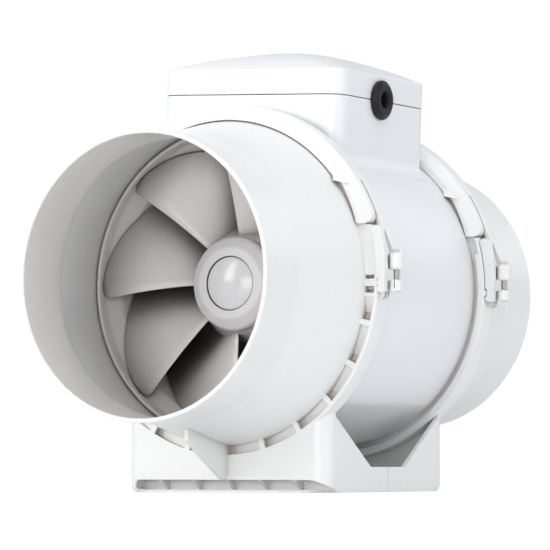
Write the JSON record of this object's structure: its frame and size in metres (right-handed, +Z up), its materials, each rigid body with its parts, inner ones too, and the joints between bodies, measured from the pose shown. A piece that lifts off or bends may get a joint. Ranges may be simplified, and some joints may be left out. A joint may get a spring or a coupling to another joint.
{
  "type": "inline duct extractor fan",
  "caption": "Inline mixed-flow extractor fan for round duct: motor block with terminal box, clamped between spigots on a bracket foot, with a spinning impeller and hinged latches.",
  "frame": {"origin": "on the floor under the foot, at the middle of the fan's length and the middle of its width over the clamp lugs, below the duct axis", "axes": "+Z up; Y along the duct axis, with the inlet mouth facing -Y and the outlet mouth +Y; +X to the right seen from behind the inlet, the side where the cable grommet is"},
  "size_m": [0.2062, 0.2892, 0.2356],
  "materials": {
    "white_plastic": "satin moulded white, slightly cool",
    "impeller_plastic": "warm light grey moulded plastic",
    "black_rubber": "soft black rubber",
    "terminal_plastic": "cream moulded plastic",
    "zinc_steel": "zinc plated",
    "lamination_steel": "dark laminated electrical steel",
    "enamelled_copper": "enamelled copper wire",
    "cast_aluminium": "as cast",
    "brass": "plain brass"
  },
  "bodies": {
    "base": {"inlet_spigot": "white_plastic", "outlet_spigot": "white_plastic", "gasket_inlet": "black_rubber", "gasket_outlet": "black_rubber", "clamp_inlet": "white_plastic", "clamp_outlet": "white_plastic", "latch_pin_inlet_right": "zinc_steel", "latch_pin_inlet_left": "zinc_steel", "latch_pin_outlet_right": "zinc_steel", "latch_pin_outlet_left": "zinc_steel", "clamp_screw_inlet_right": "zinc_steel", "clamp_screw_inlet_left": "zinc_steel", "clamp_screw_outlet_right": "zinc_steel", "clamp_screw_outlet_left": "zinc_steel"},
    "motor_block": {"motor_casing": "white_plastic", "cable_grommet": "black_rubber", "terminal_block": "terminal_plastic", "terminal_screw_1": "brass", "terminal_screw_2": "brass", "terminal_screw_3": "brass", "terminal_screw_4": "brass", "capacitor": "terminal_plastic", "capacitor_strap": "white_plastic", "cable_clamp_bar": "white_plastic", "cable_clamp_screw_1": "zinc_steel", "cable_clamp_screw_2": "zinc_steel", "inlet_collector": "white_plastic", "guide_vane_diffuser": "white_plastic", "motor_end_shield_front": "cast_aluminium", "motor_end_shield_rear": "cast_aluminium", "stator_core": "lamination_steel", "stator_winding_front": "enamelled_copper", "stator_winding_rear": "enamelled_copper", "motor_screw_1": "zinc_steel", "motor_screw_2": "zinc_steel", "motor_screw_3": "zinc_steel", "bearing_front_outer_race": "zinc_steel", "bearing_rear_outer_race": "zinc_steel", "motor_cover": "white_plastic", "motor_leads": "black_rubber"},
    "lid": {"terminal_box_lid": "white_plastic", "lid_screw_1": "zinc_steel", "lid_screw_2": "zinc_steel"},
    "rotor": {"impeller": "impeller_plastic", "hub_cap": "impeller_plastic", "impeller_nut": "zinc_steel", "motor_shaft": "zinc_steel", "rotor_core": "lamination_steel", "bearing_front_inner_race": "zinc_steel", "bearing_rear_inner_race": "zinc_steel"},
    "latch_inlet_right": {"latch_lever_inlet_right": "white_plastic"},
    "latch_inlet_left": {"latch_lever_inlet_left": "white_plastic"},
    "latch_outlet_right": {"latch_lever_outlet_right": "white_plastic"},
    "latch_outlet_left": {"latch_lever_outlet_left": "white_plastic"}
  },
  "joints": [
    {"name": "block_turn", "type": "hinge", "parent": "base", "child": "motor_block", "pos_m": [0, 0, 0.1092], "axis": [0, 1, 0], "range_deg": [-60, 60], "stiffness_Nm_per_rad": 6},
    {"name": "impeller_spin", "type": "hinge", "parent": "motor_block", "child": "rotor", "pos_m": [0, 0, 0.1092], "axis": [0, 1, 0], "continuous": true},
    {"name": "lid_lift", "type": "slide", "parent": "motor_block", "child": "lid", "axis": [0.0478, 0, 0.9989], "range_m": [0, 0.05]},
    {"name": "latch_inlet_right_swing", "type": "hinge", "parent": "base", "child": "latch_inlet_right", "pos_m": [0.09144, -0.0647, 0.1342], "axis": [0, -1, 0], "range_deg": [0, 75]},
    {"name": "latch_inlet_left_swing", "type": "hinge", "parent": "base", "child": "latch_inlet_left", "pos_m": [-0.09144, -0.0647, 0.1342], "axis": [0, 1, 0], "range_deg": [0, 75]},
    {"name": "latch_outlet_right_swing", "type": "hinge", "parent": "base", "child": "latch_outlet_right", "pos_m": [0.09144, 0.0553, 0.1342], "axis": [0, -1, 0], "range_deg": [0, 75]},
    {"name": "latch_outlet_left_swing", "type": "hinge", "parent": "base", "child": "latch_outlet_left", "pos_m": [-0.09144, 0.0553, 0.1342], "axis": [0, 1, 0], "range_deg": [0, 75]}
  ]
}
